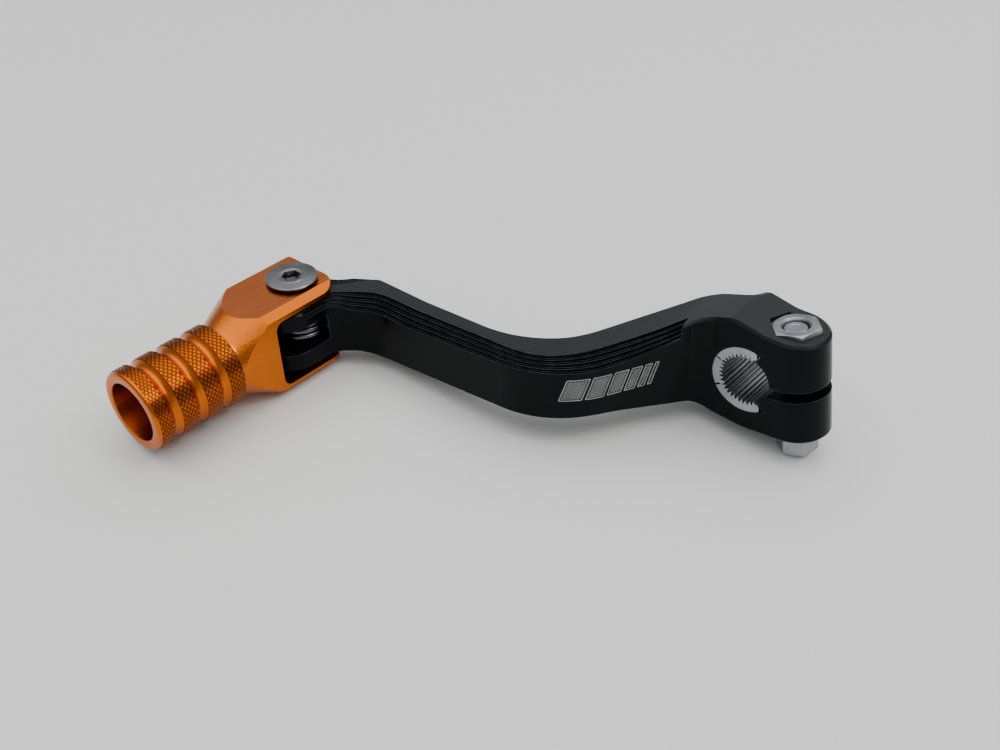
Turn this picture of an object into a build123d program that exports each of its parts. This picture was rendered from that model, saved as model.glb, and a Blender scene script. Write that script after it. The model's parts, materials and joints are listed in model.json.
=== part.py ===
from build123d import *
import os
from math import cos, hypot, radians, sin

# Folding-tip gear shift lever. Millimetres, +Z up.
# Origin: centre of the splined bore at the middle of the clamp. The bore runs along Y.
# The toe tip's hinge stands along Z. The clamp bolt leans towards the tip by CLAMP_LEAN.

# --- clamp end ---
CLAMP_WIDTH = 15.3             # along the bore
CLAMP_LEAN = 9.3               # lean of the clamp bolt, degrees
BOLT_OFFSET = 8.8              # bore axis to clamp bolt axis
SLIT = 2.6
SLIT_MIDDLE = -1.8
BORE_R = 6.2                   # arm's own bore between the ends of the insert
INSERT_R = 8.4
INSERT_PLAY = 0.02
INSERT_CORNER_R = 1.1
INSERT_GAP_ANGLE = 62.0        # half of the opening of the C-shaped insert
SEAT_GAP_ANGLE = 59.5          # half of the opening of its seat in the arm
TOOTH_COUNT = 36
TOOTH_TIP_R = 5.7
TOOTH_ROOT_R = 6.3
TOOTH_TIP_SHARE = 0.54         # part of the pitch that is tip
TOOTH_ROOT_SHARE = 0.20        # part of the pitch that is root

# --- clamp bolt and nut, heights along the bolt's own axis ---
BOLT_R = 3.0
BOLT_HOLE_R = 3.3
BOLT_SEAT = -13.8
BOLT_END = 12.0
BOLT_HEAD_ACROSS = 8.3
BOLT_HEAD = 6.0
BOLT_HEAD_TURN = 17.0           # how far the head's corners are turned about the bolt
NUT_ACROSS = 10.0
NUT_SEAT = 8.1
NUT_TOP = 12.65
NUT_TURN = 12.0                # how far the nut and its pocket are turned about the bolt
NUT_POCKET_PLAY = 0.15
CHAMFER_SPREAD = 1.7            # slope of the corner chamfers on nut and head
CHAMFER_INSET = 0.2             # from the flats in to the chamfer's circle
SEAT_POCKET_R = 6.6
EDGE_CHAMFER = 0.6             # on the rims of the clamp end
RIMS_START_X = -6.0            # the rims run from here to the clamp's end
RIMS_LEAST_Z = 9.0             # and lie at least this far from the bore's axis

# --- arm: each corner of the plan outline and its rounding ---
PIVOT_X = -97.0
PIVOT_Y = -55.2
LUG_HALF = 8.9
LUG_REACH = 12.4               # lug's heel, from the pivot towards the slot's end wall
LUG_CORNER_R = 8.4
ARM_END_X = 24.0
STEP_COUNT = 4
STEP_WIDTH = 0.75
STEP_DROP = 0.65
MID_Z = 1.0                    # middle height of the hinge and of the toe barrel
LUG_BOTTOM = -7.5
LUG_TOP = 8.4
FORK_LOW = -2.6
FORK_HIGH = 4.2
FORK_R = 9.2
FORK_OPEN_HALF = 12.0          # the fork opens towards the toe over the lug's full width
FORK_OPEN_REACH = 16.0

# --- toe tip ---
TIP_END_Y = -103.1
TIP_FAR_Y = -48.3
SLOT_WALL_Y = PIVOT_Y - 13.0
SLOT_BOTTOM = -8.5
SLOT_TOP = 9.4
SLOT_CORNER_R = 2.3
CLEVIS_BOTTOM = -10.6
CLEVIS_TOP = 11.8
EDGE_BEVEL = 2.2               # bevel on the right-hand edges, across the flat
EDGE_BEVEL_DEPTH = 1.3
CLEVIS_LEFT = 9.2
CLEVIS_RIGHT = 8.9
CLEVIS_BAR_R = 14.2
BARREL_R = 10.1
BAND_WIDTH = 4.0
BAND_PITCH = 6.6
BAND_COUNT = 4
GROOVE_DEPTH = 1.3
RIM_CHAMFER = 0.9
NECK_R = 9.0
NECK_LENGTH = 1.2
TOE_BORE_R = 7.2
TOE_BORE_DEPTH = 20.0

# --- hinge parts ---
PIN_R = 3.0
PIN_HEAD_R = 6.3
PIN_NECK_R = 4.6
PIN_NECK = 0.6
PIN_RIM = 0.65
PIN_CROWN = 0.3
PIN_SOCKET_ACROSS = 4.0
PIN_SOCKET_DEPTH = 2.0
PIN_PLAY = 0.05
BUSH_R = 4.5
BUSH_PLAY = 0.01
SLEEVE_R = 4.9
SLEEVE_BORE_R = 3.2
WASHER_R = 7.6
WASHER_BORE_R = 3.2
WASHER = 0.8
FACE_PLAY = 0.03
WIRE_R = 0.72
COIL_R = 6.2
COIL_LOW = -1.75
COIL_HIGH = 3.3
COIL_TURNS = 3 + 55 / 360
LEG_HEADING = 35.0             # heading of the spring leg that is held in the arm
LEG_HOLE_R = 0.95
LEG_R = 0.66
LEG_ROOT = 0.4                 # length of a leg that is buried in the coil's end
TIP_LEG = 15.9
ARM_LEG = 10.5
TIP_LEG_HOLE = 16.5
ARM_LEG_HOLE = 12.0

LEAN = Rot(0, -CLAMP_LEAN, 0)
PIVOT = Pos(PIVOT_X, PIVOT_Y, 0)


def upright_cylinder(radius, low, high):
    return Pos(0, 0, low) * Cylinder(radius, high - low, align=(Align.CENTER, Align.CENTER, Align.MIN))


def cross_cylinder(radius, length):
    return Rot(90, 0, 0) * Cylinder(radius, length)


def block(x_low, x_high, y_low, y_high, z_low, z_high):
    low_corner = (Align.MIN, Align.MIN, Align.MIN)
    return Pos(x_low, y_low, z_low) * Box(x_high - x_low, y_high - y_low, z_high - z_low, align=low_corner)


def hexagon_prism(across, low, high):
    radius = across / 2 / cos(radians(30))
    return Pos(0, 0, low) * extrude(RegularPolygon(radius, 6), high - low)


def plan_outline():
    """Arm seen from above, anticlockwise from the heel of the lug: (x, y, rounding)."""
    corners = [
        (PIVOT_X - LUG_HALF, PIVOT_Y - LUG_REACH, 0.8),
        (PIVOT_X + LUG_HALF, PIVOT_Y - LUG_REACH, LUG_HALF - 0.1),
        (PIVOT_X + LUG_HALF, PIVOT_Y + 3.6, 5.0),
        (-79.8, -45.1, 9.0),
        (-28.9, -41.1, 24.5),
        (-11.7, -CLAMP_WIDTH / 2, 5.0),
        (ARM_END_X, -CLAMP_WIDTH / 2, 0.5),
        (ARM_END_X, CLAMP_WIDTH / 2, 0.5),
        (-19.2, CLAMP_WIDTH / 2, 10.0),
        (-38.8, -32.4, 24.0),
        (-87.0, -35.4, 6.0),
        (-92.8, -44.1, 5.0),
        (PIVOT_X - LUG_HALF, PIVOT_Y + 3.6, LUG_CORNER_R),
    ]
    points = [(x, y) for x, y, rounding in corners]
    roundings = [rounding for x, y, rounding in corners]
    return make_face(FilletPolyline(*points, radius=roundings, close=True))


def side_profile(drop):
    """Arm seen from the side, with the top edge lowered by drop times fan: (x, z, rounding, fan)."""
    top = [
        (ARM_END_X + 5, 13.2, 0.5, -1.5),
        (3.2, 13.2, 7.0, -1.5),
        (-4.2, 14.7, 6.0, 0.15),
        (-18.5, 9.7, 25.0, 1.85),
        (-34.0, 7.5, 30.0, 1.0),
        (-70.0, 7.5, 50.0, 1.45),
        (-85.0, LUG_TOP, 12.0, 1.3),
        (-110.0, LUG_TOP, 0.5, -3.2),
    ]
    bottom = [
        (-110.0, LUG_BOTTOM, 0.5),
        (-84.0, LUG_BOTTOM, 4.0),
        (-79.0, -9.0, 8.0),
        (-23.0, -8.0, 15.0),
        (-8.5, -13.1, 12.0),
        (1.0, -13.6, 20.0),
        (ARM_END_X + 5, -10.1, 0.5),
    ]
    corners = [(x, z - drop * fan, rounding) for x, z, rounding, fan in top] + bottom
    points = [(x, z) for x, z, rounding in corners]
    roundings = [rounding for x, z, rounding in corners]
    face = Plane.XZ * make_face(FilletPolyline(*points, radius=roundings, close=True))
    return extrude(face, 90, both=True)


def step_zone():
    """Stretch of the arm whose top edges are stepped, seen from above."""
    points = [(-96, -60), (-14.2, -60), (-14.2, -12.4), (-15.6, -7), (-15.6, -1), (-2, 4), (-2, 30), (-96, 30)]
    return make_face(FilletPolyline(*points, radius=[1, 1, 2, 3, 3, 1, 1, 1], close=True))


def stepped_edges(outline):
    """What the steps take off the top edges, one cut per step from the outside in."""
    cuts = []
    for step in range(STEP_COUNT):
        inset = offset(outline, -STEP_WIDTH * (step + 1))
        ring = extrude(step_zone() - inset, 30)
        drop = STEP_DROP * (STEP_COUNT - step)
        cuts.append(ring - side_profile(drop))
    return cuts


def clamp_end():
    """Everything up to the bolt axis, plus a half round about the bolt."""
    straight = block(-220, BOLT_OFFSET, -90, 90, -60, 60)
    return straight + Pos(BOLT_OFFSET, 0, 0) * Cylinder(CLAMP_WIDTH / 2, 120)


def insert_sector(radius, half_gap, length):
    """Sector of a cylinder about the bore that leaves out the opening around +X."""
    far = 3 * radius
    angles = [half_gap + (360 - 2 * half_gap) * step / 6 for step in range(7)]
    points = [(0, 0)] + [(far * cos(radians(a)), far * sin(radians(a))) for a in angles]
    wedge = extrude(Plane.XZ * make_face(Polyline(*points, close=True)), length / 2, both=True)
    return wedge & cross_cylinder(radius, length)


def clamp_cuts():
    """Bore, insert seat, slit, bolt hole, nut pocket and head seat, about the bolt's own axis."""
    cuts = cross_cylinder(BORE_R, 40)
    cuts += insert_sector(INSERT_R, SEAT_GAP_ANGLE, 40)
    cuts += block(0, 40, -40, 40, SLIT_MIDDLE - SLIT / 2, SLIT_MIDDLE + SLIT / 2)
    bolt_axis = Pos(BOLT_OFFSET, 0, 0)
    cuts += bolt_axis * upright_cylinder(BOLT_HOLE_R, -30, 30)
    pocket_across = NUT_ACROSS + 2 * NUT_POCKET_PLAY
    cuts += bolt_axis * Rot(0, 0, NUT_TURN) * hexagon_prism(pocket_across, NUT_SEAT, 30)
    cuts += bolt_axis * upright_cylinder(SEAT_POCKET_R, -30, BOLT_SEAT)
    return cuts


def leg_line(heading):
    """Start point of a spring leg on the coil, for a leg that leaves along heading (degrees)."""
    side = radians(heading + 90)
    return COIL_R * cos(side), COIL_R * sin(side)


def arm_leg_hole():
    x, y = leg_line(LEG_HEADING)
    hole = upright_cylinder(LEG_HOLE_R, 0, ARM_LEG_HOLE)
    return Pos(x, y, COIL_HIGH) * Rot(0, 0, LEG_HEADING) * Rot(0, 90, 0) * hole


def clamp_rims(body):
    """Upper and lower rims of the clamp end, without the fold lines that cross its faces."""
    rims = []
    for edge in body.edges():
        middle = edge @ 0.5
        runs_along_side = abs((edge @ 0.25).Y) > CLAMP_WIDTH / 2 - 0.1
        on_rim = middle.X > RIMS_START_X and abs(middle.Z) > RIMS_LEAST_Z
        if on_rim and (runs_along_side or edge.geom_type == GeomType.ELLIPSE):
            rims.append(edge)
    return rims


def lever_arm():
    outline = plan_outline()
    body = extrude(outline, 30, both=True) & side_profile(0)
    body &= LEAN * clamp_end()
    body = chamfer(clamp_rims(body), EDGE_CHAMFER)
    for cut in stepped_edges(outline):
        body -= cut
    body -= LEAN * clamp_cuts()
    fork = upright_cylinder(FORK_R, FORK_LOW, FORK_HIGH)
    fork += block(-FORK_OPEN_HALF, FORK_OPEN_HALF, -FORK_OPEN_REACH, 0, FORK_LOW, FORK_HIGH)
    body -= PIVOT * fork
    body -= PIVOT * upright_cylinder(BUSH_R + BUSH_PLAY, -20, 20)
    body -= PIVOT * arm_leg_hole()
    return body


def serration_grooves():
    """V-shaped grooves between the teeth, which leave the teeth's tips on the bore's own circle."""
    pitch = 360 / TOOTH_COUNT
    mouth = pitch * (1 - TOOTH_TIP_SHARE) / 2
    root = pitch * TOOTH_ROOT_SHARE / 2
    grooves = Sketch()
    for tooth in range(TOOTH_COUNT):
        middle = (tooth + 0.5) * pitch
        corners = [
            (TOOTH_TIP_R - 0.4, middle - mouth), (TOOTH_TIP_R, middle - mouth), (TOOTH_ROOT_R, middle - root),
            (TOOTH_ROOT_R, middle + root), (TOOTH_TIP_R, middle + mouth), (TOOTH_TIP_R - 0.4, middle + mouth),
        ]
        points = [(radius * cos(radians(angle)), radius * sin(radians(angle))) for radius, angle in corners]
        grooves += make_face(Polyline(*points, close=True))
    return grooves


def reach(edge):
    """Distance of an edge's middle from the bore's axis."""
    middle = edge @ 0.5
    return hypot(middle.X, middle.Z)


def spline_insert():
    """Steel C-shaped liner with a serrated bore."""
    radius = INSERT_R - INSERT_PLAY
    ring = insert_sector(radius, INSERT_GAP_ANGLE, CLAMP_WIDTH)
    bore = Circle(TOOTH_TIP_R) + serration_grooves()
    liner = ring - extrude(Plane.XZ * bore, CLAMP_WIDTH, both=True)
    across = [edge for edge in liner.edges() if abs(edge.length - CLAMP_WIDTH) < 0.01]
    corners = [edge for edge in across if reach(edge) > radius - 0.1]
    return LEAN * fillet(corners, INSERT_CORNER_R)


def clamp_bolt():
    """Hexagon bolt, head below."""
    shank = upright_cylinder(BOLT_R, BOLT_SEAT - 1, BOLT_END)
    head_bottom = BOLT_SEAT - BOLT_HEAD
    dish_r = BOLT_HEAD_ACROSS / 2 - CHAMFER_INSET
    dish = Cone(dish_r, dish_r + 5 * CHAMFER_SPREAD, 5, align=(Align.CENTER, Align.CENTER, Align.MIN))
    head = Rot(0, 0, BOLT_HEAD_TURN) * hexagon_prism(BOLT_HEAD_ACROSS, head_bottom, BOLT_SEAT)
    head &= Pos(0, 0, head_bottom) * dish
    return LEAN * Pos(BOLT_OFFSET, 0, 0) * (shank + head)


def clamp_nut():
    nut = hexagon_prism(NUT_ACROSS, NUT_SEAT, NUT_TOP)
    cap_r = NUT_ACROSS / 2 - CHAMFER_INSET
    cap = Cone(cap_r + 5 * CHAMFER_SPREAD, cap_r, 5, align=(Align.CENTER, Align.CENTER, Align.MAX))
    nut &= Pos(0, 0, NUT_TOP) * cap
    nut -= upright_cylinder(BOLT_R, NUT_SEAT - 1, NUT_TOP + 1)
    return LEAN * Pos(BOLT_OFFSET, 0, 0) * Rot(0, 0, NUT_TURN) * nut


def toe_bar():
    """Turned shape of the toe tip about its own axis: grooved barrel, neck, cone, bar stock."""
    neck_start = BAND_WIDTH + BAND_PITCH * (BAND_COUNT - 1)
    cone_start = neck_start + NECK_LENGTH
    bar_start = SLOT_WALL_Y - TIP_END_Y + 0.5
    length = TIP_FAR_Y - TIP_END_Y
    edges = [Line((0, 0), (BARREL_R - RIM_CHAMFER, 0))]
    edges.append(Line((BARREL_R - RIM_CHAMFER, 0), (BARREL_R, RIM_CHAMFER)))
    start = RIM_CHAMFER
    for band in range(BAND_COUNT - 1):
        groove_start = BAND_WIDTH + BAND_PITCH * band
        groove_end = BAND_PITCH * (band + 1)
        middle = (groove_start + groove_end) / 2
        edges.append(Line((BARREL_R, start), (BARREL_R, groove_start)))
        bottom = (BARREL_R - GROOVE_DEPTH, middle)
        edges.append(ThreePointArc((BARREL_R, groove_start), bottom, (BARREL_R, groove_end)))
        start = groove_end
    edges.append(Polyline(
        (BARREL_R, start), (BARREL_R, neck_start), (NECK_R, neck_start), (NECK_R, cone_start),
        (CLEVIS_BAR_R, bar_start), (CLEVIS_BAR_R, length), (0, length), (0, 0),
    ))
    profile = make_face(edges)
    return Pos(PIVOT_X, TIP_END_Y, MID_Z) * revolve(profile, Axis.Y)


def clevis_block():
    """Flats of the clevis: rounded at the far right corner, square at the far left one."""
    barrel_end_y = TIP_END_Y + BAND_WIDTH + BAND_PITCH * (BAND_COUNT - 1)
    left, right = PIVOT_X - CLEVIS_LEFT, PIVOT_X + CLEVIS_RIGHT
    points = [(left, barrel_end_y), (right, barrel_end_y), (right, TIP_FAR_Y), (left, TIP_FAR_Y)]
    plan = make_face(FilletPolyline(*points, radius=[0.1, 0.1, 5.0, 0.8], close=True))
    clevis = Pos(0, 0, CLEVIS_BOTTOM) * extrude(plan, CLEVIS_TOP - CLEVIS_BOTTOM)
    for z, inwards in [(CLEVIS_TOP, -1), (CLEVIS_BOTTOM, 1)]:
        corner = [(right + 1, z), (right - EDGE_BEVEL, z), (right, z + inwards * EDGE_BEVEL_DEPTH)]
        clevis -= extrude(Plane.XZ * make_face(Polyline(*corner, close=True)), 200, both=True)
    barrel = block(-130, -70, TIP_END_Y - 1, barrel_end_y, -30, 30)
    return clevis + barrel


def clevis_slot():
    """Slot between the two plates, with rounded inner corners, open towards +Y."""
    length = 40
    slot = RectangleRounded(length, SLOT_TOP - SLOT_BOTTOM, SLOT_CORNER_R)
    cutter = extrude(Plane.YZ * slot, 40, both=True)
    return Pos(PIVOT_X, SLOT_WALL_Y + length / 2, (SLOT_TOP + SLOT_BOTTOM) / 2) * cutter


def toe_tip():
    body = toe_bar() & clevis_block()
    body -= clevis_slot()
    body -= PIVOT * upright_cylinder(PIN_R + PIN_PLAY, 0, 30)
    body -= PIVOT * upright_cylinder(PIN_R, -30, 0)
    bore = Rot(90, 0, 0) * Cylinder(TOE_BORE_R, 2 * TOE_BORE_DEPTH)
    body -= Pos(PIVOT_X, TIP_END_Y, MID_Z) * bore
    leg_hole = Rot(90, 0, 0) * upright_cylinder(LEG_HOLE_R, 0, TIP_LEG_HOLE)
    body -= PIVOT * Pos(-COIL_R, 0, COIL_LOW) * leg_hole
    return body


def pivot_bolt():
    """Button-headed pin: hexagon socket, short neck under a domed rim, thread in the lower plate."""
    rim_low = CLEVIS_TOP + PIN_NECK
    rim_high = rim_low + PIN_RIM
    crown_side = (PIN_HEAD_R * 0.7, rim_high + PIN_CROWN * 0.53)
    crown = ThreePointArc((PIN_HEAD_R, rim_high), crown_side, (0, rim_high + PIN_CROWN))
    foot = Polyline(
        (0, rim_high + PIN_CROWN), (0, CLEVIS_BOTTOM), (PIN_R, CLEVIS_BOTTOM),
        (PIN_R, CLEVIS_TOP), (PIN_NECK_R, CLEVIS_TOP), (PIN_NECK_R, rim_low), (PIN_HEAD_R, rim_low),
        (PIN_HEAD_R, rim_high),
    )
    pin = revolve(Plane.XZ * make_face([crown, foot]), Axis.Z)
    socket = hexagon_prism(PIN_SOCKET_ACROSS, rim_high + PIN_CROWN - PIN_SOCKET_DEPTH, 30)
    return PIVOT * (pin - socket)


def ring(outer, inner, low, high):
    return PIVOT * (upright_cylinder(outer, low, high) - upright_cylinder(inner, low - 1, high + 1))


def washer(low):
    return ring(WASHER_R, WASHER_BORE_R, low, low + WASHER)


def spring_leg(start, heading, length):
    x, y, z = start
    along = Rot(0, 0, heading) * Rot(0, 90, 0)
    return Pos(x, y, z) * along * upright_cylinder(LEG_R, -LEG_ROOT, length)


def torsion_spring():
    """Left-hand coil with one leg into the tip's end wall and one into the root of the arm's fork."""
    height = COIL_HIGH - COIL_LOW
    path = Pos(0, 0, COIL_LOW) * Rot(0, 0, 180) * Helix(height / COIL_TURNS, height, COIL_R, lefthand=True)
    section = Plane(origin=path @ 0, z_dir=path % 0) * Circle(WIRE_R)
    coil = sweep(section, path=path, is_frenet=True)
    tip_leg = spring_leg((-COIL_R, 0, COIL_LOW), -90, TIP_LEG)
    x, y = leg_line(LEG_HEADING)
    arm_leg = spring_leg((x, y, COIL_HIGH), LEG_HEADING, ARM_LEG)
    return PIVOT * (coil + tip_leg + arm_leg)


parts = {
    "lever_arm": lever_arm(),
    "spline_insert": spline_insert(),
    "clamp_bolt": clamp_bolt(),
    "clamp_nut": clamp_nut(),
    "toe_tip": toe_tip(),
    "pivot_bolt": pivot_bolt(),
    "torsion_spring": torsion_spring(),
    "spring_sleeve": ring(SLEEVE_R, SLEEVE_BORE_R, FORK_LOW + FACE_PLAY, FORK_HIGH - FACE_PLAY),
    "upper_bush": ring(BUSH_R, PIN_R + PIN_PLAY, FORK_HIGH, LUG_TOP),
    "lower_bush": ring(BUSH_R, PIN_R + PIN_PLAY, LUG_BOTTOM, FORK_LOW),
    "upper_washer": washer(LUG_TOP + FACE_PLAY),
    "lower_washer": washer(LUG_BOTTOM - FACE_PLAY - WASHER),
}

os.makedirs("parts", exist_ok=True)
for name, shape in parts.items():
    export_step(shape, "parts/" + name + ".step")
    print(name, len(shape.solids()), round(shape.volume, 1), shape.is_valid)
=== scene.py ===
import json
from math import cos, degrees, hypot, pi, radians, sin, sqrt, tan

import bmesh
import bpy
from mathutils import Matrix, Vector


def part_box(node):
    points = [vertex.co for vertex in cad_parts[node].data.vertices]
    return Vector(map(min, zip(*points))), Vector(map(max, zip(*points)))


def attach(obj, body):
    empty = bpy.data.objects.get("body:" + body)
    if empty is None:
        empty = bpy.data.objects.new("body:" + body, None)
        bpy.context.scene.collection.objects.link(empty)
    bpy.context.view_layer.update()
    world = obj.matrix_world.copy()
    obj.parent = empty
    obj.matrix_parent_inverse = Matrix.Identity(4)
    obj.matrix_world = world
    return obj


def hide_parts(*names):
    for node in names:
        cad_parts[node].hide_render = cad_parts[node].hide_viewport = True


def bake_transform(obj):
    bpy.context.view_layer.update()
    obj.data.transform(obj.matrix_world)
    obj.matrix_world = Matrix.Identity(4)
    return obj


# Looks of a gear shift lever with a folding toe tip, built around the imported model.
# Everything is in metres in the model's own frame: +Y along the splined bore, +Z along the hinge.

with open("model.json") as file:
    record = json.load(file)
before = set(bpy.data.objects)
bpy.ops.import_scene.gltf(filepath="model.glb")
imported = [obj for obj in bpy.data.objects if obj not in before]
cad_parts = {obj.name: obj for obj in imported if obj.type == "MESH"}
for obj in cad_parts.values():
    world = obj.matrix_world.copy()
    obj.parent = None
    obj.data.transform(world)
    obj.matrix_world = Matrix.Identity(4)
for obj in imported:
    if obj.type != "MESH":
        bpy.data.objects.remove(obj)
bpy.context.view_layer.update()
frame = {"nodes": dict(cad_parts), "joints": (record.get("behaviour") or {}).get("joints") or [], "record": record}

MM = 0.001

# --- places taken from the frame ---
JOINT = frame["joints"][0]
PIVOT = Vector(JOINT["pos_m"])
BORE_LENGTH = frame["record"]["mounts"][0]["dims"]["length_mm"] * MM
TIP_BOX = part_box("toe_tip")
PIN_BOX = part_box("pivot_bolt")

# --- clamp ---
CLAMP_LEAN = radians(9.3)
BOLT_OFFSET = 8.8 * MM
LEAN = Matrix.Rotation(-CLAMP_LEAN, 4, "Y")
BOLT_AXIS = LEAN @ Matrix.Translation((BOLT_OFFSET, 0, 0))

# --- turned barrel ---
BARREL_R = 10.08 * MM
KNURL_DEPTH = 0.42 * MM
KNURL_CELLS = 42
BAND_ROWS = 6
BAND_WIDTH = 4.0 * MM
BAND_PITCH = 6.6 * MM
BAND_COUNT = 4
GROOVE_DEPTH = 0.95 * MM
BAND_EDGE = 0.12 * MM
GROOVE_ROWS = 12
RIM_ROUND = 0.8 * MM
RIM_STEPS = 6
NECK_R = 9.0 * MM
NECK_CUT = 24.3 * MM           # from the barrel's end to where the barrel meets the clevis piece
TOE_BORE_R = 7.2 * MM
TOE_BORE_DEPTH = 20.0 * MM
LAND_SINK = 0.7 * KNURL_DEPTH  # the bands' plain ends lie this far below the knurl's peaks
LAND_LIP = 0.08 * MM           # height of the small chamfer at a band's edge
KNURL_INSET = 0.35 * MM        # plain length at each end of a band
RIM_LAND = 0.3 * MM            # plain length behind the rounded rim
NECK_GAP = 0.02 * MM           # keeps the neck inside the clevis piece's collar
BORE_CHAMFER = 0.3 * MM
BORE_CHAMFER_SMALL = 0.09 * MM
BORE_FLOOR_EDGE = 0.4 * MM
BORE_FLOOR_CONE = 1.6 * MM


# ---------------------------------------------------------------- mesh helpers

def object_from(name, mesh_maker):
    """New object whose mesh is filled in by mesh_maker(bmesh)."""
    mesh = bpy.data.meshes.new(name)
    work = bmesh.new()
    mesh_maker(work)
    bmesh.ops.recalc_face_normals(work, faces=work.faces)
    work.to_mesh(mesh)
    work.free()
    piece = bpy.data.objects.new(name, mesh)
    bpy.context.scene.collection.objects.link(piece)
    return piece


def finish_piece(piece, body, material, sharp=30):
    """Shades the piece, gives it its material and puts it on its body."""
    piece.data.materials.clear()
    piece.data.materials.append(material)
    for face in piece.data.polygons:
        face.use_smooth = True
    piece.data.set_sharp_from_angle(angle=radians(sharp))
    if body:
        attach(piece, body)


def value_at(value, column):
    return value(column) if callable(value) else value


def turned(work, rows, columns, place, diamonds=False):
    """Surface turned about local Z. A row is (radius, height), each a number or a function of the column.
    With diamonds, each face folds along its valleys, which makes pyramids of a lattice of peaks."""
    rings = []
    axis = (place.translation, place.to_3x3() @ Vector((0, 0, 1)))
    for radius, height in rows:
        ring = []
        if radius == 0:
            ring = [work.verts.new(place @ Vector((0, 0, height)))]
        else:
            for column in range(columns):
                angle = 2 * pi * column / columns
                r, z = value_at(radius, column), value_at(height, column)
                ring.append(work.verts.new(place @ Vector((r * cos(angle), r * sin(angle), z))))
        rings.append(ring)
    for lower, upper in zip(rings, rings[1:]):
        for column in range(columns):
            following = (column + 1) % columns
            if len(lower) == 1:
                work.faces.new((lower[0], upper[column], upper[following]))
            elif len(upper) == 1:
                work.faces.new((lower[column], lower[following], upper[0]))
            elif diamonds and is_valley(lower[column], lower[following], axis):
                work.faces.new((lower[column], lower[following], upper[following]))
                work.faces.new((lower[column], upper[following], upper[column]))
            elif diamonds:
                work.faces.new((lower[column], lower[following], upper[column]))
                work.faces.new((lower[following], upper[following], upper[column]))
            else:
                work.faces.new((lower[column], lower[following], upper[following], upper[column]))


def is_valley(vertex, neighbour, axis):
    """True if vertex is nearer to the axis than its neighbour."""
    distances = []
    for v in (vertex, neighbour):
        offset = v.co - axis[0]
        distances.append((offset - axis[1] * offset.dot(axis[1])).length)
    return distances[0] < distances[1]


def hexagon(across, columns):
    """Radius of a hexagon with this size across flats, as a function of the column."""
    def radius(column):
        angle = (360 * column / columns) % 60 - 30
        return across / 2 / cos(radians(angle))
    return radius


# ---------------------------------------------------------------- materials

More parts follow.
